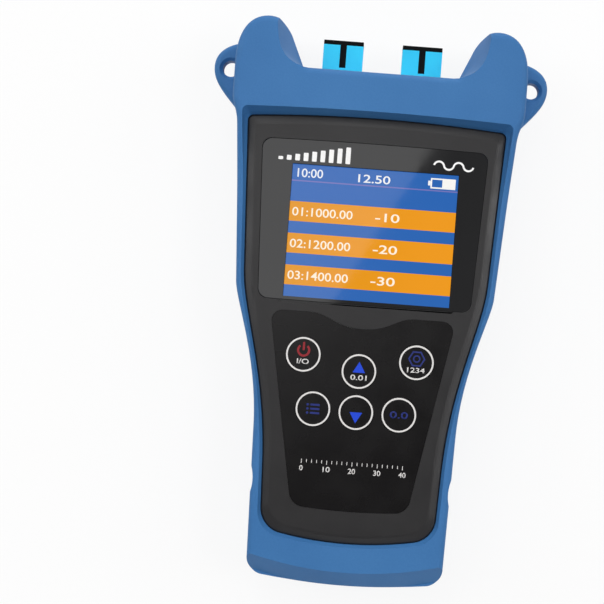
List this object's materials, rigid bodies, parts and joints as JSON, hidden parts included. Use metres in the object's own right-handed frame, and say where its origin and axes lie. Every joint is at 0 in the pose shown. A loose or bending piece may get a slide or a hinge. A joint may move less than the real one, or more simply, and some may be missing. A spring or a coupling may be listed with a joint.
{
  "type": "optical power meter",
  "caption": "Handheld fibre-optic power meter: waisted case in a rubber boot with bumper horns and lanyard lugs, colour display, round keys, plugged SC ports and a hinged battery door.",
  "frame": {"origin": "centre of the outer box's underside, on the plane the meter's back lies on", "axes": "+Y towards the ports, +Z out of the face, +X to the right of someone reading the face"},
  "size_m": [0.1084, 0.178, 0.043],
  "materials": {
    "boot_rubber": "satin",
    "case_plastic": "fine texture",
    "window_acrylic": "gloss, clear over the picture",
    "display_glass": "gloss",
    "backlight_plastic": "matte",
    "frame_steel": "brushed",
    "keypad_sheet": "fine matte",
    "board_laminate": "solder mask",
    "block_aluminium": "machined",
    "chip_resin": "matte",
    "contact_spring": "plated",
    "cell_jacket": "printed jacket",
    "switch_plastic": "matte",
    "adapter_plastic": "satin",
    "ferrule_ceramic": "polished",
    "plug_plastic": "matte",
    "screw_steel": "plated"
  },
  "bodies": {
    "meter": {"boot": "boot_rubber", "front_case": "case_plastic", "rear_case": "case_plastic", "display_window": "window_acrylic", "lcd_glass": "display_glass", "lcd_backlight": "backlight_plastic", "lcd_frame": "frame_steel", "keypad_overlay": "keypad_sheet", "main_board": "board_laminate", "optical_block": "block_aluminium", "processor_chip": "chip_resin", "lanyard_lug_left": "boot_rubber", "lanyard_lug_right": "boot_rubber", "hinge_pin": "screw_steel", "battery_contacts_upper": "contact_spring", "battery_contacts_lower": "contact_spring", "battery_cell_1": "cell_jacket", "battery_cell_2": "cell_jacket", "battery_cell_3": "cell_jacket", "switch_body_power": "switch_plastic", "switch_body_up": "switch_plastic", "switch_body_settings": "switch_plastic", "switch_body_menu": "switch_plastic", "switch_body_down": "switch_plastic", "switch_body_reference": "switch_plastic", "sc_adapter_left": "adapter_plastic", "ferrule_sleeve_left": "ferrule_ceramic", "stub_ferrule_left": "ferrule_ceramic", "photodiode_left": "contact_spring", "sc_adapter_right": "adapter_plastic", "ferrule_sleeve_right": "ferrule_ceramic", "stub_ferrule_right": "ferrule_ceramic", "photodiode_right": "contact_spring", "adapter_screw_1": "screw_steel", "case_screw_1": "screw_steel", "board_screw_1": "screw_steel", "adapter_screw_2": "screw_steel", "case_screw_2": "screw_steel", "board_screw_2": "screw_steel", "adapter_screw_3": "screw_steel", "case_screw_3": "screw_steel", "board_screw_3": "screw_steel", "adapter_screw_4": "screw_steel", "case_screw_4": "screw_steel", "board_screw_4": "screw_steel"},
    "power_key": {"key_power": "keypad_sheet", "switch_stem_power": "switch_plastic"},
    "up_key": {"key_up": "keypad_sheet", "switch_stem_up": "switch_plastic"},
    "settings_key": {"key_settings": "keypad_sheet", "switch_stem_settings": "switch_plastic"},
    "menu_key": {"key_menu": "keypad_sheet", "switch_stem_menu": "switch_plastic"},
    "down_key": {"key_down": "keypad_sheet", "switch_stem_down": "switch_plastic"},
    "reference_key": {"key_reference": "keypad_sheet", "switch_stem_reference": "switch_plastic"},
    "left_plug": {"dust_plug_left": "plug_plastic"},
    "right_plug": {"dust_plug_right": "plug_plastic"},
    "door": {"battery_door": "case_plastic"}
  },
  "joints": [
    {"name": "power_press", "type": "slide", "parent": "meter", "child": "power_key", "axis": [0, 0, -1], "range_m": [0, 0.0004], "stiffness_N_per_m": 3000, "springref_m": -0.0001},
    {"name": "up_press", "type": "slide", "parent": "meter", "child": "up_key", "axis": [0, 0, -1], "range_m": [0, 0.0004], "stiffness_N_per_m": 3000, "springref_m": -0.0001},
    {"name": "settings_press", "type": "slide", "parent": "meter", "child": "settings_key", "axis": [0, 0, -1], "range_m": [0, 0.0004], "stiffness_N_per_m": 3000, "springref_m": -0.0001},
    {"name": "menu_press", "type": "slide", "parent": "meter", "child": "menu_key", "axis": [0, 0, -1], "range_m": [0, 0.0004], "stiffness_N_per_m": 3000, "springref_m": -0.0001},
    {"name": "down_press", "type": "slide", "parent": "meter", "child": "down_key", "axis": [0, 0, -1], "range_m": [0, 0.0004], "stiffness_N_per_m": 3000, "springref_m": -0.0001},
    {"name": "reference_press", "type": "slide", "parent": "meter", "child": "reference_key", "axis": [0, 0, -1], "range_m": [0, 0.0004], "stiffness_N_per_m": 3000, "springref_m": -0.0001},
    {"name": "left_plug_pull", "type": "slide", "parent": "meter", "child": "left_plug", "axis": [0, 1, 0], "range_m": [0, 0.02]},
    {"name": "right_plug_pull", "type": "slide", "parent": "meter", "child": "right_plug", "axis": [0, 1, 0], "range_m": [0, 0.02]},
    {"name": "door_hinge", "type": "hinge", "parent": "meter", "child": "door", "pos_m": [0, -0.0176, 0.0044], "axis": [1, 0, 0], "range_deg": [0, 90]}
  ]
}
